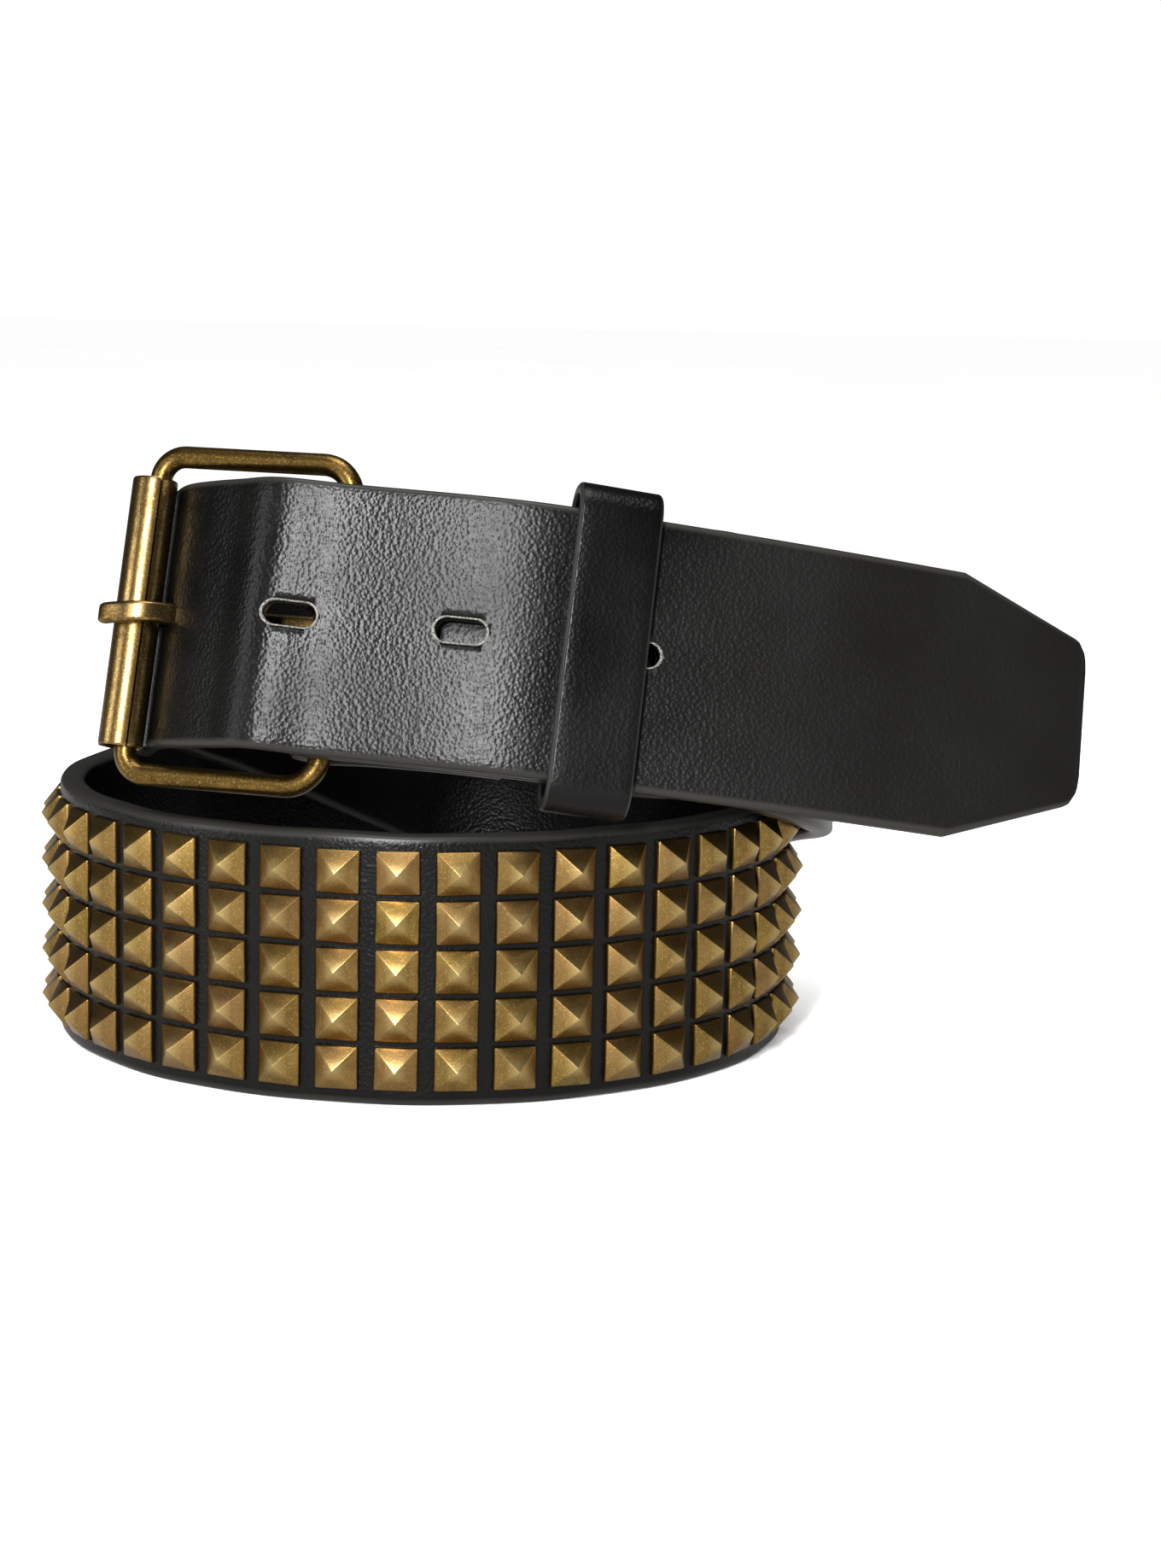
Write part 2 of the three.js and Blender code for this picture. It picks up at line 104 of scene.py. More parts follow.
# turn, inner reach, inner height, layers to the outer one, outer height
COIL = [
    (90, 1.0, 0.5, 1.0, 1.29), (115, 0.97, 0.525, 1.02, 1.13), (140, 0.91, 0.67, 1.08, 0.97),
    (165, 0.86, 0.88, 1.2, 0.82), (190, 0.82, 1.1, 1.38, 0.68), (215, 0.785, 1.31, 1.6, 0.57),
    (240, 0.75, 1.47, 1.83, 0.51), (265, 0.725, 1.58, 2.05, 0.5),
]
RING_TURNS = range(290, 451, 20)
BUCKLE_END = [0.18, 0.45, 0.75, 1.0, 1.2]
# share of the frame's length towards the roller, and outwards
CROSSING = [
    (1.067, -0.36), (0.946, -0.16), (0.822, 0.0), (0.658, 0.105), (0.475, 0.19), (0.275, 0.275),
]
# along, back, lean
FREE_END = [
    (0.0, 0.0, 0.9), (0.25, -0.01, 0.95), (0.41, 0.029, 1.05), (0.58, 0.074, 1.2),
    (0.78, 0.142, 1.3), (1.0, 0.225, 1.4),
]
FLAP = [(1.0, 0.0), (0.7, 0.0), (0.45, 0.25), (0.2, 0.8)]
TIP_OUTLINE = [(1.0, 1.0), (0.075, 0.635), (0.022, 0.54), (0.0, 0.43)]
# along, outwards, to one side
PRONG_LINE = [
    (0.14, -0.43, 0), (0.27, -0.43, 0), (0.53, -0.43, 0), (0.667, -0.43, 0), (0.74, -0.37, 0),
    (0.787, -0.19, 0), (0.819, 0.02, 0), (0.851, 0.24, 0), (0.893, 0.6, -0.04),
    (0.944, 0.88, -0.1), (1.0, 0.985, -0.17), (1.03, 1.0, -0.21), (1.085, 0.97, -0.26),
    (1.13, 0.88, -0.3), (1.165, 0.74, -0.33),
]

# %% [markdown]
# ## The strap's line
#
# A smooth curve runs through the rows, and at each distance along it there is a frame:
# where the strap's middle is, which way it runs, which way its width and its outer face
# look.


# %% Curves and frames
def unit(v):
    return v / np.linalg.norm(v, axis=-1, keepdims=True)


class Smooth:
    """A Catmull-Rom curve through points; knots spread by distance to a power."""

    def __init__(self, points, power):
        p = np.vstack([2 * points[0] - points[1], points, 2 * points[-1] - points[-2]])
        a, b, c, d = p[:-3], p[1:-2], p[2:-1], p[3:]
        before, here, after = (np.linalg.norm(q, axis=1, keepdims=True) ** power if power
                               else np.ones((len(a), 1)) for q in (b - a, c - b, d - c))
        start = ((b - a) / before - (c - a) / (before + here) + (c - b) / here) * here
        end = ((c - b) / here - (d - b) / (here + after) + (d - c) / after) * here
        self.terms = (b, start, -3 * b + 3 * c - 2 * start - end, 2 * b - 2 * c + start + end)
        self.last = len(points) - 1

    def at(self, u):
        row = np.clip(np.floor(u).astype(int), 0, self.last - 1)
        w = (u - row)[:, None]
        return sum(term[row] * w ** k for k, term in enumerate(self.terms))


def leaning(share):
    share = np.atleast_1d(share)
    return unit(np.stack([LEAN_RIGHT * share, LEAN_BACK * share, np.ones_like(share)], 1))


class StrapLine:
    def __init__(self, rows):
        self.places = Smooth(np.array([row[0] for row in rows]), 0.5)
        self.leans = Smooth(np.array([[row[1]] for row in rows], float), 0)
        self.steps = np.linspace(0, len(rows) - 1, (len(rows) - 1) * 40 + 1)
        points = self.places.at(self.steps)
        parts = np.linalg.norm(np.diff(points, axis=0), axis=1)
        self.lengths = np.concatenate([[0], np.cumsum(parts)])
        self.length = self.lengths[-1]

    def distance_of(self, row):
        return self.lengths[row * 40]

    def frames(self, distances):
        """Places, directions along, up and outwards, at distances along the strap."""
        u = np.interp(np.atleast_1d(distances), self.lengths, self.steps)
        last = self.places.last
        step = 1e-4 * last
        tangent = unit(self.places.at(np.minimum(u + step, last))
                       - self.places.at(np.maximum(u - step, 0)))
        up = leaning(self.leans.at(u)[:, 0])
        up = unit(up - (up * tangent).sum(1, keepdims=True) * tangent)
        return self.places.at(u), tangent, up, np.cross(tangent, up)


def panel(turn):
    up = leaning(1)[0]
    turn = math.radians(turn)
    right = np.array([math.cos(turn), -math.sin(turn), 0])
    right = unit(right - right @ up * up)
    return right, up, np.cross(right, up)


BUCKLE, FRONT = panel(FRAME_TURN), panel(FRONT_TURN)


def on_panel(sides, right, out, up=0.0):
    return BAR_PLACE + sides[0] * right + sides[1] * up + sides[2] * out


def on_ring(turn, reach, height):
    turn = math.radians(turn)
    return np.array([math.sin(turn) * reach, -math.cos(turn) * reach, height])


def free_end_rows():
    rows = [(on_panel(BUCKLE, -along * FRAME_LENGTH, out * FRAME_LENGTH), 1)
            for along, out in CROSSING]
    return rows + [(on_panel(FRONT, along * TIP_REACH, FOLD_RADIUS + END_PITCH - back * TIP_REACH),
                    lean) for along, back, lean in FREE_END]


def strap_rows(free_end):
    bar = free_end.distance_of(len(CROSSING))

    def from_bar(distance, behind):
        at, _, _, out = free_end.frames(bar + distance)
        return at[0] - out[0] * behind, 1

    rows = [from_bar(along * FLAP_LENGTH, 2 * END_PITCH + spread * (2 * FOLD_RADIUS - END_PITCH))
            for along, spread in FLAP]
    for turn in range(180, -1, -45):
        angle = math.radians(turn)
        rows.append((on_panel(FRONT, -FOLD_RADIUS * math.sin(angle),
                              FOLD_RADIUS * math.cos(angle)), 1))
    rows += [from_bar(along * KEEPER_FROM_BAR, END_PITCH) for along in BUCKLE_END]
    rows += [(on_ring(turn, RING_MIDDLE + out * LAYER_PITCH, rise * STRAP_WIDTH), lean)
             for turn, out, rise, lean in SHOULDER]
    rows += [(on_ring(turn, RING_MIDDLE * inner + LAYER_PITCH * layers, outer * STRAP_WIDTH), 0)
             for turn, inner, _, layers, outer in COIL]
    rows += [(on_ring(turn, RING_MIDDLE, HALF_WIDTH), 0) for turn in RING_TURNS]
    rows += [(on_ring(turn, RING_MIDDLE * inner, rise * STRAP_WIDTH),
              (rise - 0.5) / (COIL[-1][2] - 0.5)) for turn, inner, rise, _, _ in COIL[1:]]
    return rows + free_end_rows()


rows = strap_rows(StrapLine(free_end_rows()))
strap = StrapLine(rows)
tip_at = strap.length
bar_at = strap.distance_of(len(rows) - len(FREE_END))
fold_end = strap.distance_of(len(FLAP) + 4)
stud_start = fold_end + STUDS_FROM_BAR
stud_columns = int((bar_at - PLAIN_BEFORE_BAR - stud_start) // COLUMN_PITCH)
stud_end = stud_start + stud_columns * COLUMN_PITCH
slots_at = [tip_at - SLOT_FROM_TIP - index * SLOT_PITCH for index in range(SLOT_COUNT)]
print(f"strap {tip_at:.1f} mm, bar at {bar_at:.1f} mm, {stud_columns} stud columns")


# %% [markdown]
# ## Materials
#
# One helper adds a node, and one function turns hex colours to linear ones. Leather is near
# black with a pebble grain; its painted edges are a little lighter. The metal is brass plate,
# darkened chemically and brushed back, so it stays brown in the hollows and bright on ridges.

# %% Node helper and colours
def add(tree, kind, inputs=None, **settings):
    node = tree.nodes.new(kind)
    for key, value in settings.items():
        setattr(node, key, value)
    for key, value in (inputs or {}).items():
        if isinstance(value, bpy.types.NodeSocket):
            tree.links.new(value, node.inputs[key])
        else:
            node.inputs[key].default_value = value
    return node


def srgb(code):
    parts = [int(code[i:i + 2], 16) / 255 for i in (1, 3, 5)]
    return (*[c / 12.92 if c <= 0.04045 else ((c + 0.055) / 1.055) ** 2.4 for c in parts], 1.0)


def blank(name):
    material = bpy.data.materials.new(name)
    material.use_nodes = True
    tree = material.node_tree
    tree.nodes.clear()
    shader = add(tree, "ShaderNodeBsdfPrincipled")
    add(tree, "ShaderNodeOutputMaterial", {"Surface": shader.outputs["BSDF"]})
    return material, tree, shader


def ramp(tree, value, low, high, to_low=0.0, to_high=1.0):
    return add(tree, "ShaderNodeMapRange", {
        "Value": value, "From Min": low, "From Max": high, "To Min": to_low, "To Max": to_high,
    }).outputs["Result"]


def math_node(tree, operation, a, b=0.0):
    return add(tree, "ShaderNodeMath", {0: a, 1: b}, operation=operation).outputs[0]


def blend(tree, factor, a, b):
    return add(tree, "ShaderNodeMix", {0: factor, 6: a, 7: b}, data_type="RGBA").outputs[2]


# %% Leather
def leather(name, colour, worn, roughness, grain=1.0):
    """Bonded leather with pebble grain. Its UV map holds distance along and across, in metres."""
    material, tree, shader = blank(name)
    place = add(tree, "ShaderNodeTexCoord").outputs["Object"]
    lines = add(tree, "ShaderNodeUVMap", uv_map="Strap")
    split = add(tree, "ShaderNodeSeparateXYZ", {0: lines.outputs["UV"]})
    along, across = split.outputs[0], split.outputs[1]
    pebble = add(tree, "ShaderNodeTexVoronoi", {"Vector": place, "Scale": 1250, "Smoothness": 0.5},
                 feature="SMOOTH_F1").outputs["Distance"]
    folds = add(tree, "ShaderNodeTexNoise", {"Vector": place, "Scale": 900, "Detail": 2,
                                             "Distortion": 0.3}).outputs[0]
    fine = add(tree, "ShaderNodeTexNoise", {"Vector": place, "Scale": 3200, "Detail": 2}).outputs[0]
    wide = add(tree, "ShaderNodeTexNoise", {"Vector": place, "Scale": 38, "Detail": 3}).outputs[0]
    far = math_node(tree, "ABSOLUTE", across)
    edge = ramp(tree, far, PAINT_FROM / 1000, PAINT_FULL / 1000)
    # The tip beyond the keeper is rougher than the front. Its colour is painted light: it is blended to a
    # lighter warm grey, the look of that part lit without a highlight
    dull_tip_painted_light = ramp(tree, along, (bar_at + DULL_TIP_PAINTED_LIGHT_FROM) / 1000, (bar_at + DULL_TIP_PAINTED_LIGHT_FULL) / 1000)
    height = math_node(tree, "ADD", math_node(tree, "MULTIPLY", pebble, 0.9),
                       math_node(tree, "MULTIPLY", folds, 0.3))
    height = math_node(tree, "ADD", height, math_node(tree, "MULTIPLY", fine, 0.25))
    soft = math_node(tree, "MULTIPLY", math_node(tree, "SUBTRACT", 1.0, edge), height)
    bump = add(tree, "ShaderNodeBump", {"Strength": 0.42 * grain, "Distance": 0.00026,
                                        "Height": soft})
    tone = blend(tree, ramp(tree, wide, 0.35, 0.75), srgb(colour), srgb(worn))
    # Painted light: the tip past the keeper is blended towards a lighter warm grey
    tone = blend(tree, math_node(tree, "MULTIPLY", dull_tip_painted_light, 0.8), tone, srgb("#0a0908"))
    tone = blend(tree, math_node(tree, "MULTIPLY", edge, 0.5), tone, srgb("#2b2a27"))
    rough = ramp(tree, wide, 0.3, 0.7, roughness - 0.05, roughness + 0.07)
    rough = math_node(tree, "ADD", rough, math_node(tree, "MULTIPLY", dull_tip_painted_light, 0.12))
    tree.links.new(tone, shader.inputs["Base Color"])
    tree.links.new(rough, shader.inputs["Roughness"])
    tree.links.new(bump.outputs[0], shader.inputs["Normal"])
    shader.inputs["Specular IOR Level"].default_value = 0.17
    return material


def cut_leather():
    """The torn grey fibres round a punched hole."""
    material, tree, shader = blank("cut_leather_fibre")
    place = add(tree, "ShaderNodeTexCoord").outputs["Object"]
    fibre = add(tree, "ShaderNodeTexNoise", {"Vector": place, "Scale": 2600, "Detail": 4}).outputs[0]
    tone = blend(tree, ramp(tree, fibre, 0.35, 0.68), srgb("#121110"), srgb("#77756e"))
    bump = add(tree, "ShaderNodeBump", {"Strength": 0.8, "Distance": 0.0002, "Height": fibre})
    tree.links.new(tone, shader.inputs["Base Color"])
    tree.links.new(bump.outputs[0], shader.inputs["Normal"])
    shader.inputs["Roughness"].default_value = 0.6
    return material


# %% Antique brass
def brass(name, low, middle, high, roughness, mottle, per_piece=False):
    """Darkened brass plate; per_piece reads each stud's own tone and height."""
    material, tree, shader = blank(name)
    place = add(tree, "ShaderNodeTexCoord").outputs["Object"]
    cloud = add(tree, "ShaderNodeTexNoise", {"Vector": place, "Scale": mottle, "Detail": 5,
                                             "Roughness": 0.65}).outputs[0]
    speck = add(tree, "ShaderNodeTexNoise", {"Vector": place, "Scale": 2400, "Detail": 3}).outputs[0]
    worn = ramp(tree, cloud, 0.33, 0.67)
    tone = blend(tree, worn, srgb(low), srgb(middle))
    tone = blend(tree, ramp(tree, speck, 0.52, 0.75, 0.0, 0.45), tone, srgb(high))
    rough = ramp(tree, cloud, 0.3, 0.7, roughness + 0.1, roughness - 0.04)
    if per_piece:
        own = add(tree, "ShaderNodeAttribute", attribute_name="tone").outputs["Fac"]
        rise = add(tree, "ShaderNodeAttribute", attribute_name="rise").outputs["Fac"]
        tone = blend(tree, ramp(tree, own, 0.0, 1.0, 0.0, 0.4), tone, srgb("#86644a"))
        foot = ramp(tree, rise, 0.0, 0.22, 0.75, 0.0)
        tone = blend(tree, foot, tone, srgb("#33240f"))
        tone = blend(tree, ramp(tree, rise, 0.55, 1.0, 0.0, 0.5), tone, srgb(high))
    bump = add(tree, "ShaderNodeBump", {"Strength": 0.25, "Distance": 0.00008, "Height": speck})
    tree.links.new(tone, shader.inputs["Base Color"])
    tree.links.new(rough, shader.inputs["Roughness"])
    tree.links.new(bump.outputs[0], shader.inputs["Normal"])
    shader.inputs["Metallic"].default_value = 1.0
    return material


STRAP_LEATHER = leather("bonded_leather_semigloss", "#030303", "#060605", 0.3)
KEEPER_LEATHER = leather("bonded_leather_keeper", "#030303", "#070606", 0.32, 0.7)
FIBRE = cut_leather()
STUD_BRASS = brass("pressed_brass_antique_plate", "#6b5426", "#8d733c", "#c9b47c", 0.3, 160, True)
FRAME_BRASS = brass("bent_wire_antique_brass", "#3d2c12", "#7a6030", "#b9a268", 0.3, 210)
ROLLER_BRASS = brass("rolled_sheet_worn_brass", "#57421f", "#94794a", "#d8c797", 0.26, 150)
print("materials:", len(bpy.data.materials))


# %% [markdown]
# ## Mesh helpers
#
# A strip of sections becomes one closed mesh: one ring of points for each section, quads
# between them, and a cap at each end or a joint back to the first. The places are turned
# to metres in the row frame here.

# %% Mesh helpers
def to_row(points):
    return (np.asarray(points) + RING_AT) / 1000


def new_piece(name, mesh, materials, body="root"):
    piece = bpy.data.objects.new(name, mesh)
    bpy.context.scene.collection.objects.link(piece)
    for material in materials:
        if material.name not in mesh.materials:
            mesh.materials.append(material)
    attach(piece, body)
    return piece


def strip(name, rings, closed=False, uv=None, sharp=40):
    """A mesh from rings of points, an array of rings by points by 3, in the ring's millimetres."""
    count, size = rings.shape[:2]
    index = np.arange(count * size).reshape(count, size)
    after = np.roll(index, -1, axis=1)
    here, there = (index, np.roll(index, -1, axis=0)) if closed else (index[:-1], index[1:])
    near, far = (after, np.roll(after, -1, axis=0)) if closed else (after[:-1], after[1:])
    faces = np.stack([here, near, far, there], -1).reshape(-1, 4).tolist()
    if not closed:
        faces += [index[0][::-1].tolist(), index[-1].tolist()]
    mesh = bpy.data.meshes.new(name)
    mesh.from_pydata(to_row(rings.reshape(-1, 3)).tolist(), [], faces)
    if uv is not None:
        layer = mesh.uv_layers.new(name="Strap")
        corners = np.zeros(len(mesh.loops), np.int32)
        mesh.loops.foreach_get("vertex_index", corners)
        layer.data.foreach_set("uv", (uv.reshape(-1, 2)[corners] / 1000).ravel())
    tidy = bmesh.new()
    tidy.from_mesh(mesh)
    bmesh.ops.recalc_face_normals(tidy, faces=tidy.faces)
    tidy.to_mesh(mesh)
    tidy.free()
    mesh.shade_smooth()
    mesh.set_sharp_from_angle(angle=math.radians(sharp))
    return mesh


def round_section(width, height, radius, corner=5, across=2):
    """A rectangle's outline with round corners, with extra points along its two high sides."""
    x, y = width / 2 - radius, height / 2 - radius
    points = []
    for k, (cx, cy) in enumerate([(x, y), (-x, y), (-x, -y), (x, -y)]):
        for step in range(corner + 1):
            angle = math.radians(90 * k + 90 * step / corner)
            points.append((cx + radius * math.cos(angle), cy + radius * math.sin(angle)))
        if k % 2:
            side = np.linspace(y, -y, across + 2)[1:-1] * (1 if k == 1 else -1)
            points += [(points[-1][0], level) for level in side]
    return np.array(points)


# %% [markdown]
# ## The leather strap
#
# The section keeps its flat faces and gets softly rounded, painted edges. It is laid along
# the line in short steps, thinner at both ends, clipped at the tip, and its edges waver a
# little as cut leather does. The holes and the opening at the bar are cut through it.

# %% Strap
def strap_sections():
    # Short steps in the fold, the front and the tip, longer ones in the flap and the coil
    bend, coil, front, clip = fold_end - 20, fold_end + 6, bar_at - 90, tip_at - TIP_CLIP
    at = np.concatenate([
        np.arange(0, bend, 3.0), np.arange(bend, coil, 0.7), np.arange(coil, front, 1.9),
        np.arange(front, clip, 1.4), np.arange(clip, tip_at - 1.2, 0.9),
        tip_at - np.array([0.9, 0.5, 0.2, 0.0]),
    ])
    studded = np.clip(np.minimum(at - stud_start, stud_end - at) / STUD_TAPER + 1, 0, 1)
    end = np.clip(1 - (tip_at - at) / 0.9, 0, 1)
    thick = (END_THICK + (BODY_THICK - END_THICK) * studded) / END_THICK * (1 - 0.35 * end ** 2)
    back, half = zip(*TIP_OUTLINE[::-1])
    tall = np.interp((tip_at - at) / TIP_CLIP, back, half) - 0.02 * end ** 2
    waver = 0.12 * np.sin(at / 11.3) + 0.1 * np.sin(at / 4.7 + 1) + 0.08 * np.sin(at / 27.1 + 2)
    return at, thick, tall, waver * studded


distances, thick, tall, waver = strap_sections()
outline = round_section(END_THICK, STRAP_WIDTH, EDGE_ROUND, across=23)
middle, _, upward, outward = strap.frames(distances)
level = outline[None, :, 1] * tall[:, None]
level = level + (np.abs(outline[:, 1]) > 20)[None] * waver[:, None]
rings = (middle[:, None] + outward[:, None] * (outline[None, :, 0] * thick[:, None])[..., None]
         + upward[:, None] * level[..., None])
flat_pattern = np.stack(np.broadcast_arrays(distances[:, None], outline[None, :, 1]), -1)
strap_mesh = strip("leather_strap", rings, uv=flat_pattern)


# %% Holes through the strap
def oval(length, height, steps=10):
    radius = height / 2
    shift = length / 2 - radius
    angles = np.radians(np.linspace(-90, 90, steps + 1))
    right = np.stack([shift + radius * np.cos(angles), radius * np.sin(angles)], 1)
    return np.concatenate([right, -right])


def slot_cutter(distance):
    at, tangent, up, out = (v[0] for v in strap.frames(distance))
    shape = oval(SLOT_LENGTH, SLOT_HEIGHT)
    flat = at + shape[:, :1] * tangent + shape[:, 1:] * up
    return np.stack([flat - out * CUTTER_REACH, flat + out * CUTTER_REACH])


def fold_cutter():
    reach = 2 * (FOLD_RADIUS + END_THICK)
    x, y, z = (reach + PRONG_WIDTH) / 2, PRONG_WIDTH / 2 + 2 * CLEARANCE, reach / 2
    corners = [(-x, -y), (x, -y), (x, y), (-x, y)]
    return np.array([[on_panel(FRONT, a, side * z, b) for a, b in corners] for side in (-1, 1)])


def cut(piece_mesh, cutters):
    whole = bpy.data.objects.new("uncut", piece_mesh)
    bpy.context.scene.collection.objects.link(whole)
    made = []
    for rings in cutters:
        tool = bpy.data.objects.new("tool", strip("tool", rings))
        tool.data.materials.append(FIBRE)
        bpy.context.scene.collection.objects.link(tool)
        made.append(tool)
        step = whole.modifiers.new("cut", "BOOLEAN")
        step.object, step.operation, step.solver = tool, "DIFFERENCE", "MANIFOLD"
    done = bpy.data.meshes.new_from_object(
        whole.evaluated_get(bpy.context.evaluated_depsgraph_get()))
    for spare in [whole, *made]:
        bpy.data.objects.remove(spare)
    return done


strap_mesh.materials.append(STRAP_LEATHER)
holed = cut(strap_mesh, [slot_cutter(at) for at in slots_at] + [fold_cutter()])
leather_strap = new_piece("leather_strap", holed, [STRAP_LEATHER])
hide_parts("studded_strap")
print("leather strap:", len(holed.vertices), "points, materials", [m.name for m in holed.materials])


# %% [markdown]
# The punch leaves a raised, torn rim round each hole, lighter than the face.

# %% Rims of the holes
def rim(distance, seed):
    rng = np.random.default_rng(seed)
    shape = oval(SLOT_LENGTH + RIM_GROWTH, SLOT_HEIGHT + RIM_GROWTH, 14)
    at, _, up, out = strap.frames(distance + shape[:, 0])
    centre = at + up * shape[:, 1:] + out * (END_THICK / 2 + 0.02)
    side = unit(centre - centre.mean(0))
    radius = 0.26 + 0.12 * rng.random(len(shape))
    angles = np.radians(np.arange(0, 360, 45))
    return (centre[:, None] + side[:, None] * (radius[:, None] * np.cos(angles))[..., None]
            + out[:, None] * (0.8 * radius[:, None] * np.sin(angles))[..., None])


for index, at in enumerate(slots_at[:RIMMED_HOLES]):
    edge_ring = new_piece(f"hole_rim_{index + 1}", strip("rim", rim(at, index), closed=True), [FIBRE])
print("hole rims:", RIMMED_HOLES)

# %% [markdown]
# ## Studs
#
# One pressed stud is a low rim with a four-sided point, its ridges slightly rounded. Geometry
# Nodes set a copy at each place of the field, turned by a degree or so, with a tone of its
# own, and the result becomes one mesh.


# %% One stud
def stud_mesh():
    half = STUD_SIZE / 2
    work = bmesh.new()
    # half width and height of the foot, the rim and the start of the point
    levels = [(half - 0.05, -0.35), (half - 0.05, 0.5), (half - 0.16, 0.82)]
    loops = [[work.verts.new((x * s / 1000, y * s / 1000, z / 1000))
              for x, y in ((1, 1), (-1, 1), (-1, -1), (1, -1))] for s, z in levels]
    top = work.verts.new((0, 0, STUD_HEIGHT / 1000))
    for low, high in zip(loops, loops[1:]):
        for k in range(4):
            work.faces.new([low[k], low[(k + 1) % 4], high[(k + 1) % 4], high[k]])
    for k in range(4):
        work.faces.new([loops[-1][k], loops[-1][(k + 1) % 4], top])
    work.faces.new(loops[0][::-1])
    edges = [e for e in work.edges if min(v.co.z for v in e.verts) > -0.0001]
    upright = [e for e in work.edges if e not in edges and abs(e.verts[0].co.z - e.verts[1].co.z) > 0.0001]
    bmesh.ops.bevel(work, geom=edges + upright, offset=0.0003, segments=2, profile=0.6,
                    affect="EDGES")
    mesh = bpy.data.meshes.new("stud")
    bmesh.ops.recalc_face_normals(work, faces=work.faces)
    work.to_mesh(mesh)
    work.free()
    rise = mesh.attributes.new("rise", "FLOAT", "POINT")
    rise.data.foreach_set("value", [max(0, v.co.z / STUD_HEIGHT * 1000) for v in mesh.vertices])
    mesh.shade_smooth()
    mesh.set_sharp_from_angle(angle=math.radians(24))
    return mesh


# %% Places of the studs
def stud_places():
    at = stud_start + (np.arange(stud_columns) + 0.5) * COLUMN_PITCH
    middle, _, up, out = strap.frames(at)
    rows = (np.arange(STUD_ROWS) - (STUD_ROWS - 1) / 2) * ROW_PITCH
    places = (middle + out * BODY_THICK / 2)[:, None] + up[:, None] * rows[None, :, None]
    mesh = bpy.data.meshes.new("stud_places")
    mesh.from_pydata(to_row(places.reshape(-1, 3)).tolist(), [], [])
    for name, vectors in (("outward", out), ("upward", up)):
        layer = mesh.attributes.new(name, "FLOAT_VECTOR", "POINT")
        layer.data.foreach_set("vector", np.repeat(vectors, STUD_ROWS, axis=0).ravel())
    return mesh


# %% Node tree that sets the studs
def stud_tree():
    tree = bpy.data.node_groups.new("Stud field", "GeometryNodeTree")
    sockets = {}
    for name, kind in (("Geometry", "Geometry"), ("Stud", "Object"), ("Turn", "Float"),
                       ("Seed", "Int"), ("Material", "Material")):
        sockets[name] = tree.interface.new_socket(name, in_out="INPUT",
                                                  socket_type="NodeSocket" + kind)
    tree.interface.new_socket("Geometry", in_out="OUTPUT", socket_type="NodeSocketGeometry")
    start = add(tree, "NodeGroupInput")
    out = add(tree, "GeometryNodeInputNamedAttribute", {"Name": "outward"}, data_type="FLOAT_VECTOR")
    up = add(tree, "GeometryNodeInputNamedAttribute", {"Name": "upward"}, data_type="FLOAT_VECTOR")
    axes = add(tree, "FunctionNodeAxesToRotation", {0: out.outputs[0], 1: up.outputs[0]},
               primary_axis="Z", secondary_axis="Y")
    points = add(tree, "GeometryNodeMeshToPoints", {"Mesh": start.outputs["Geometry"]})
    shape = add(tree, "GeometryNodeObjectInfo", {"Object": start.outputs["Stud"]})
    placed = add(tree, "GeometryNodeInstanceOnPoints", {
        "Points": points.outputs[0], "Instance": shape.outputs["Geometry"],
        "Rotation": axes.outputs[0],
    })
    less = add(tree, "ShaderNodeMath", {0: start.outputs["Turn"], 1: -1.0}, operation="MULTIPLY")
    spin = add(tree, "FunctionNodeRandomValue", {
        2: less.outputs[0], 3: start.outputs["Turn"], "Seed": start.outputs["Seed"],
    }, data_type="FLOAT")
    about = add(tree, "ShaderNodeCombineXYZ", {"Z": spin.outputs[1]})
    turned = add(tree, "GeometryNodeRotateInstances", {
        "Instances": placed.outputs[0], "Rotation": about.outputs[0],
    })
    other = add(tree, "ShaderNodeMath", {0: start.outputs["Seed"], 1: 7.0}, operation="ADD")
    tone = add(tree, "FunctionNodeRandomValue", {2: 0.0, 3: 1.0, "Seed": other.outputs[0]},
               data_type="FLOAT")
    kept = add(tree, "GeometryNodeStoreNamedAttribute", {
        "Geometry": turned.outputs[0], "Name": "tone", "Value": tone.outputs[1],
    }, data_type="FLOAT", domain="INSTANCE")
    real = add(tree, "GeometryNodeRealizeInstances", {"Geometry": kept.outputs[0]})
    dressed = add(tree, "GeometryNodeSetMaterial", {
        "Geometry": real.outputs[0], "Material": start.outputs["Material"],
    })
    add(tree, "NodeGroupOutput", {"Geometry": dressed.outputs[0]})
    return tree, sockets


# %% Field of studs
one_stud = bpy.data.objects.new("one_stud", stud_mesh())
field = bpy.data.objects.new("field", stud_places())
for spare in (one_stud, field):
    bpy.context.scene.collection.objects.link(spare)
tree, sockets = stud_tree()
setter = field.modifiers.new("studs", "NODES")
setter.node_group = tree
for name, value in (("Stud", one_stud), ("Turn", 0.02), ("Seed", 11), ("Material", STUD_BRASS)):
    setter[sockets[name].identifier] = value
field.update_tag()
bpy.context.view_layer.update()
studs_mesh = bpy.data.meshes.new_from_object(
    field.evaluated_get(bpy.context.evaluated_depsgraph_get()))
for spare in (one_stud, field):
    bpy.data.objects.remove(spare)
studs = new_piece("pyramid_studs", studs_mesh, [STUD_BRASS])
print("studs:", len(studs_mesh.polygons), "faces")

# %% [markdown]
# ## Keeper
#
# A strip of leather closed to a loop. Its ends round over the strap's edges, and its cut
# edges are painted and softly rounded.


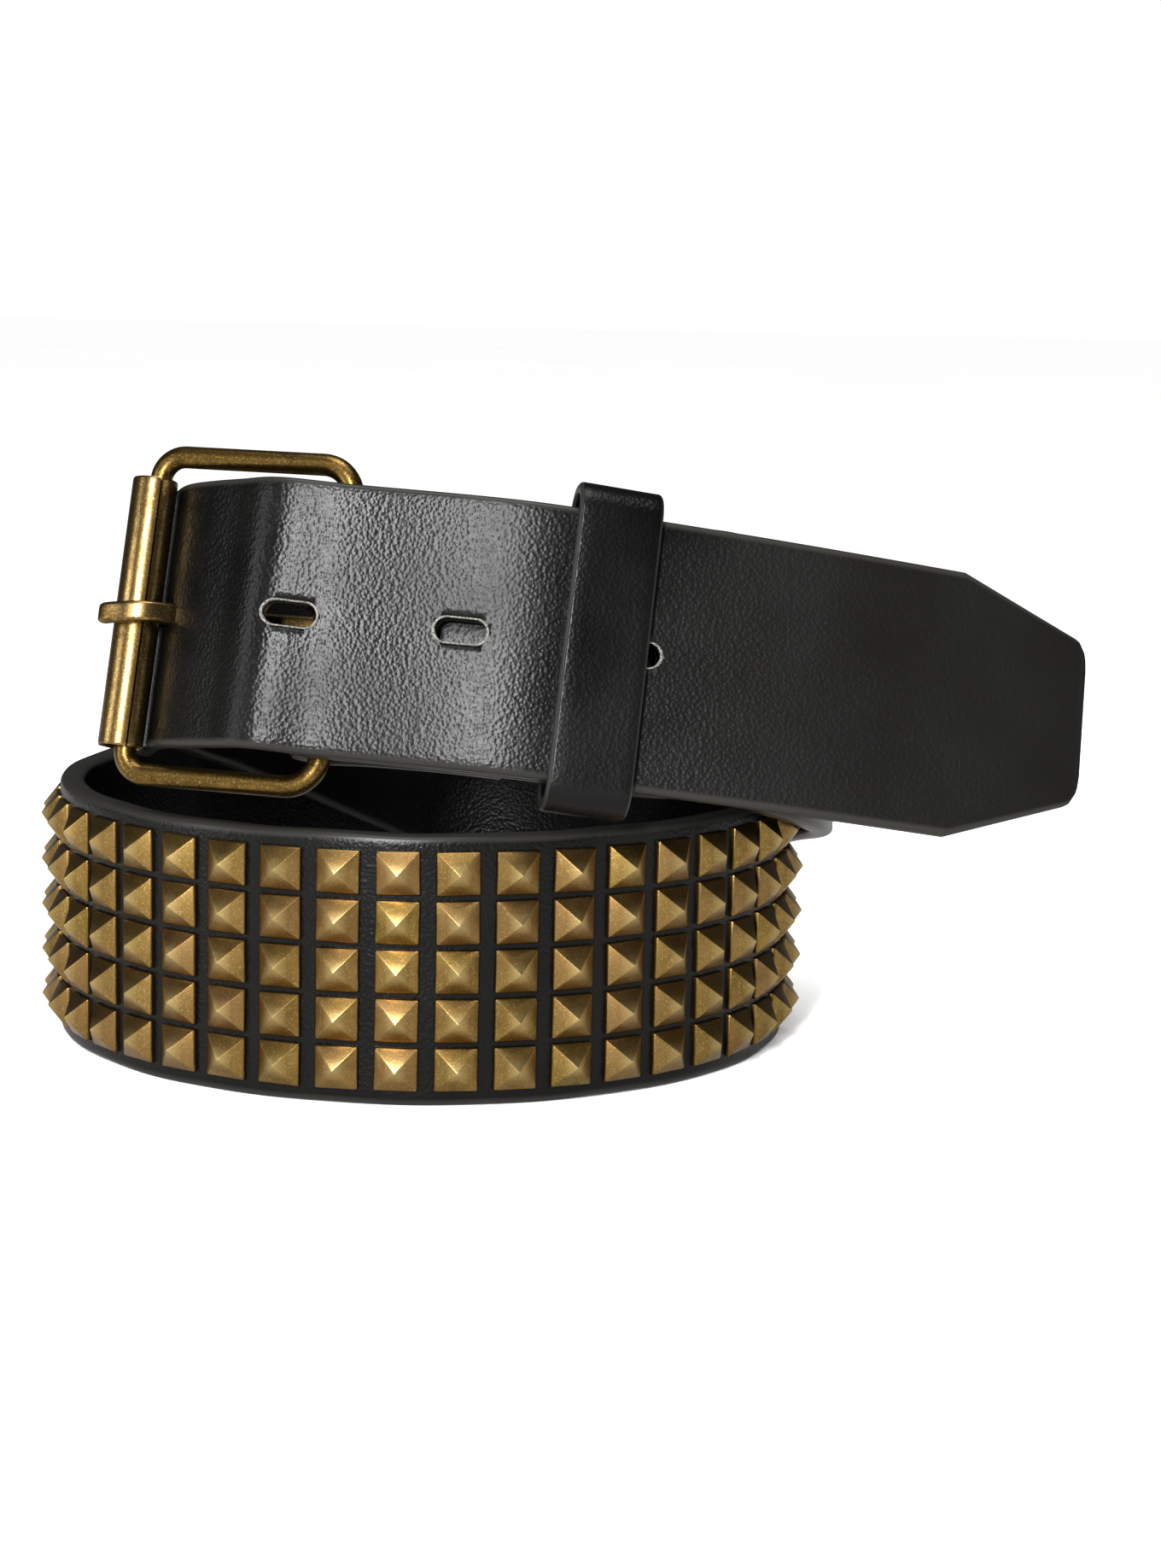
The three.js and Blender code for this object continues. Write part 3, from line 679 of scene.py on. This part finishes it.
# %% Keeper
def keeper_mesh():
    inside = 2 * END_THICK + 3 * CLEARANCE + KEEPER_SLACK
    outside = inside + 2 * KEEPER_THICK
    loop = round_section(outside, KEEPER_HEIGHT, outside * 0.45, corner=12, across=12)
    ahead, behind = np.roll(loop, -1, axis=0), np.roll(loop, 1, axis=0)
    along = unit(ahead - behind)
    normal = np.stack([along[:, 1], -along[:, 0]], 1)
    section = round_section(KEEPER_THICK, KEEPER_WIDTH, 0.9, corner=4, across=6)
    depth, side = section[:, 0] - KEEPER_THICK / 2, section[:, 1]
    at, _, up, out = strap.frames(bar_at + KEEPER_FROM_BAR + side)
    at = at - out * (END_PITCH + KEEPER_SLACK) / 2
    x = loop[:, None, 0] + normal[:, None, 0] * depth
    y = loop[:, None, 1] + normal[:, None, 1] * depth
    rings = at[None] + out[None] * x[..., None] + up[None] * y[..., None]
    edge = np.broadcast_to((side * (27.6 / (KEEPER_WIDTH / 2 - 0.55)))[None], x.shape)
    return strip("keeper", rings, closed=True, uv=np.stack([x * 0, edge], -1))


keeper = new_piece("leather_keeper", keeper_mesh(), [KEEPER_LEATHER])
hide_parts("keeper_loop")

# %% [markdown]
# ## Buckle
#
# The frame is one bent wire. The roller is a rolled sheet with an open seam, turned towards
# the right, and the prong is a flat wire that loops round the bar, comes out through a hole
# and ends over the roller.


# %% Frame
def frame_line():
    half = FRAME_HEIGHT / 2
    points = []
    for cx, cy, radius, start in (
        (-BAR_CORNER, half - BAR_CORNER, BAR_CORNER, 0),
        (ROLLER_CORNER - FRAME_LENGTH, half - ROLLER_CORNER, ROLLER_CORNER, 90),
        (ROLLER_CORNER - FRAME_LENGTH, ROLLER_CORNER - half, ROLLER_CORNER, 180),
        (-BAR_CORNER, BAR_CORNER - half, BAR_CORNER, 270),
    ):
        for angle in np.radians(start + np.arange(0, 91, 7.5)):
            points.append((cx + radius * math.cos(angle), cy + radius * math.sin(angle)))
    return np.array(points)


def wire_rings(line, radius, sides=24):
    centre = np.array([on_panel(BUCKLE, right, 0, up) for right, up in line])
    tangent = unit(np.roll(centre, -1, axis=0) - np.roll(centre, 1, axis=0))
    side = np.cross(BUCKLE[2], tangent)
    angles = np.radians(np.arange(0, 360, 360 / sides))
    return (centre[:, None] + side[:, None] * (radius * np.cos(angles))[None, :, None]
            + BUCKLE[2] * (radius * np.sin(angles))[None, :, None])


wire = new_piece("buckle_wire", strip("wire", wire_rings(frame_line(), WIRE / 2), closed=True),
                 [FRAME_BRASS])
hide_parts("buckle_frame")


# %% Roller
def roller_mesh():
    inner = ROLLER_RADIUS - ROLLER_SHEET
    slack = inner - WIRE / 2 - CLEARANCE
    gap = ROLLER_SEAM / ROLLER_RADIUS / 2
    outer = [(ROLLER_RADIUS * math.cos(a), ROLLER_RADIUS * math.sin(a))
             for a in np.linspace(gap, 2 * math.pi - gap, 61)]
    inside = [(inner * math.cos(a), inner * math.sin(a))
              for a in np.linspace(2 * math.pi - gap, gap, 61)]
    shape = np.array(outer + inside)
    middle = (ROLLER_RADIUS + inner) / 2
    turn = math.radians(SEAM_TURN)
    towards = BUCKLE[2] * math.cos(turn) + BUCKLE[0] * math.sin(turn)
    other = np.cross(BUCKLE[1], towards)
    rings = []
    for up, pull in ((-0.5, 0.4), (-0.4955, 0.12), (-0.491, 0), (0.491, 0), (0.4955, 0.12), (0.5, 0.4)):
        radius = np.linalg.norm(shape, axis=1, keepdims=True)
        soft = shape * (radius + (middle - radius) * pull) / radius
        centre = on_panel(BUCKLE, -FRAME_LENGTH - slack, 0, up * ROLLER_LENGTH)
        rings.append(centre + soft[:, :1] * towards + soft[:, 1:] * other)
    return strip("roller_tube", np.array(rings), sharp=30)


tube = new_piece("roller_tube", roller_mesh(), [ROLLER_BRASS])
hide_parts("roller")


# %% Prong
def prong_mesh():
    loop = WIRE / 2 + CLEARANCE + PRONG_SHEET / 2
    reach = ROLLER_RADIUS + CLEARANCE + PRONG_THICK / 2
    turns = np.radians(-70 + 28.5 * np.arange(11))
    points = [on_panel(BUCKLE, loop * math.sin(a), loop * math.cos(a)) for a in turns]
    points += [on_panel(BUCKLE, -along * FRAME_LENGTH, out * reach, up * PRONG_WIDTH)
               for along, out, up in PRONG_LINE]
    curve = Smooth(np.array(points), 0.5)
    u = np.linspace(0, len(points) - 1, (len(points) - 1) * 4 + 1)
    centre = curve.at(u)
    tangent = unit(np.gradient(centre, axis=0))
    side = np.broadcast_to(BUCKLE[1], centre.shape)
    out = np.cross(tangent, side)
    swell = 1 + (PRONG_THICK / PRONG_SHEET - 1) * np.clip((u - 10) / 1.5, 0, 1)
    end = np.clip(1 - (u[-1] - u) / 0.8, 0, 1) ** 2
    section = round_section(PRONG_SHEET, PRONG_WIDTH, PRONG_SHEET * 0.42, corner=5)
    return strip("prong_bar", centre[:, None]
                 + out[:, None] * (section[None, :, 0] * (swell * (1 - 0.4 * end))[:, None])[..., None]
                 + side[:, None] * (section[None, :, 1] * (1 - 0.25 * end)[:, None])[..., None])


bar = new_piece("prong_bar", prong_mesh(), [ROLLER_BRASS])
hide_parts("prong")
print("buckle: wire, roller and prong")

# %% [markdown]
# ## Floor, light and camera
#
# A pale floor runs back to a white surround. A tall soft light stands above and left of the
# camera for the upright highlight on the front, one hangs overhead, and weaker ones fill
# the sides. The camera has the photograph's angle and frame.


# %% Floor and surround
FLOOR_REACH = 9


def floor():
    mesh = bpy.data.meshes.new("floor")
    corners = [(x * FLOOR_REACH, y * FLOOR_REACH, 0) for x, y in ((-1, -1), (1, -1), (1, 1), (-1, 1))]
    mesh.from_pydata(corners, [], [(0, 1, 2, 3)])
    plane = bpy.data.objects.new("floor", mesh)
    bpy.context.scene.collection.objects.link(plane)
    material, tree, shader = blank("white_paper_sweep")
    place = add(tree, "ShaderNodeTexCoord").outputs["Object"]
    cloud = add(tree, "ShaderNodeTexNoise", {"Vector": place, "Scale": 3.0}).outputs[0]
    paper = blend(tree, cloud, srgb("#fafaf9"), srgb("#ffffff"))
    # Reflections of the floor are held back, as grey cards beside the belt would do
    mirrored = add(tree, "ShaderNodeLightPath").outputs["Is Glossy Ray"]
    tree.links.new(blend(tree, mirrored, paper, srgb("#a9a8a6")), shader.inputs["Base Color"])
    shader.inputs["Roughness"].default_value = 1.0
    shader.inputs["Specular IOR Level"].default_value = 0.0
    mesh.materials.append(material)


def surround(seen, lit):
    world = bpy.data.worlds.new("studio")
    bpy.context.scene.world = world
    world.use_nodes = True
    tree = world.node_tree
    tree.nodes.clear()
    path = add(tree, "ShaderNodeLightPath")
    open_air = math_node(tree, "MAXIMUM", path.outputs["Is Camera Ray"],
                         path.outputs["Is Diffuse Ray"])
    strength = ramp(tree, open_air, 0, 1, lit, seen)
    back = add(tree, "ShaderNodeBackground", {"Color": (1, 1, 1, 1), "Strength": strength})
    add(tree, "ShaderNodeOutputWorld", {"Surface": back.outputs[0]})


floor()
surround(1.0, 0.05)


# %% Lights
def soft_light(name, place, target, size, power):
    data = bpy.data.lights.new(name, "AREA")
    data.shape, data.size, data.size_y, data.energy = "RECTANGLE", size[0], size[1], power
    lamp = bpy.data.objects.new(name, data)
    bpy.context.scene.collection.objects.link(lamp)
    aim = (Vector(target) - Vector(place)).to_track_quat("-Z", "Y")
    lamp.matrix_world = Matrix.Translation(place) @ aim.to_matrix().to_4x4()


middle_of_belt = (cad_low + cad_high) / 2
# name, place, size, power
for light in (
    ("strip_key", (-0.22, -1.15, 0.62), (0.1, 0.8), 36),
    ("overhead", (0.05, -0.15, 1.3), (0.7, 0.7), 10),
    ("left_fill", (-1.25, -0.55, 0.35), (0.5, 0.9), 7),
    ("right_fill", (1.25, -0.5, 0.4), (0.4, 0.9), 2),
):
    soft_light(light[0], light[1], middle_of_belt, light[2], light[3])


# %% Camera
PHOTO_HEIGHT, FOCAL_PIXELS, SENSOR = 1836, 3800, 36.0
CAMERA_PLACE, CAMERA_TILT, CAMERA_ROLL = np.array([36.6, -750.0, 175.0]), 81, 1.2


def camera():
    data = bpy.data.cameras.new("camera")
    data.sensor_width, data.clip_start = SENSOR, 0.01
    data.lens = FOCAL_PIXELS / PHOTO_HEIGHT * SENSOR
    eye = bpy.data.objects.new("camera", data)
    bpy.context.scene.collection.objects.link(eye)
    place = Vector(to_row(CAMERA_PLACE))
    eye.matrix_world = (Matrix.Translation(place) @ Matrix.Rotation(math.radians(CAMERA_TILT), 4, "X")
                        @ Matrix.Rotation(math.radians(CAMERA_ROLL), 4, "Z"))
    bpy.context.scene.camera = eye


camera()
bpy.context.scene.view_settings.view_transform = "Standard"
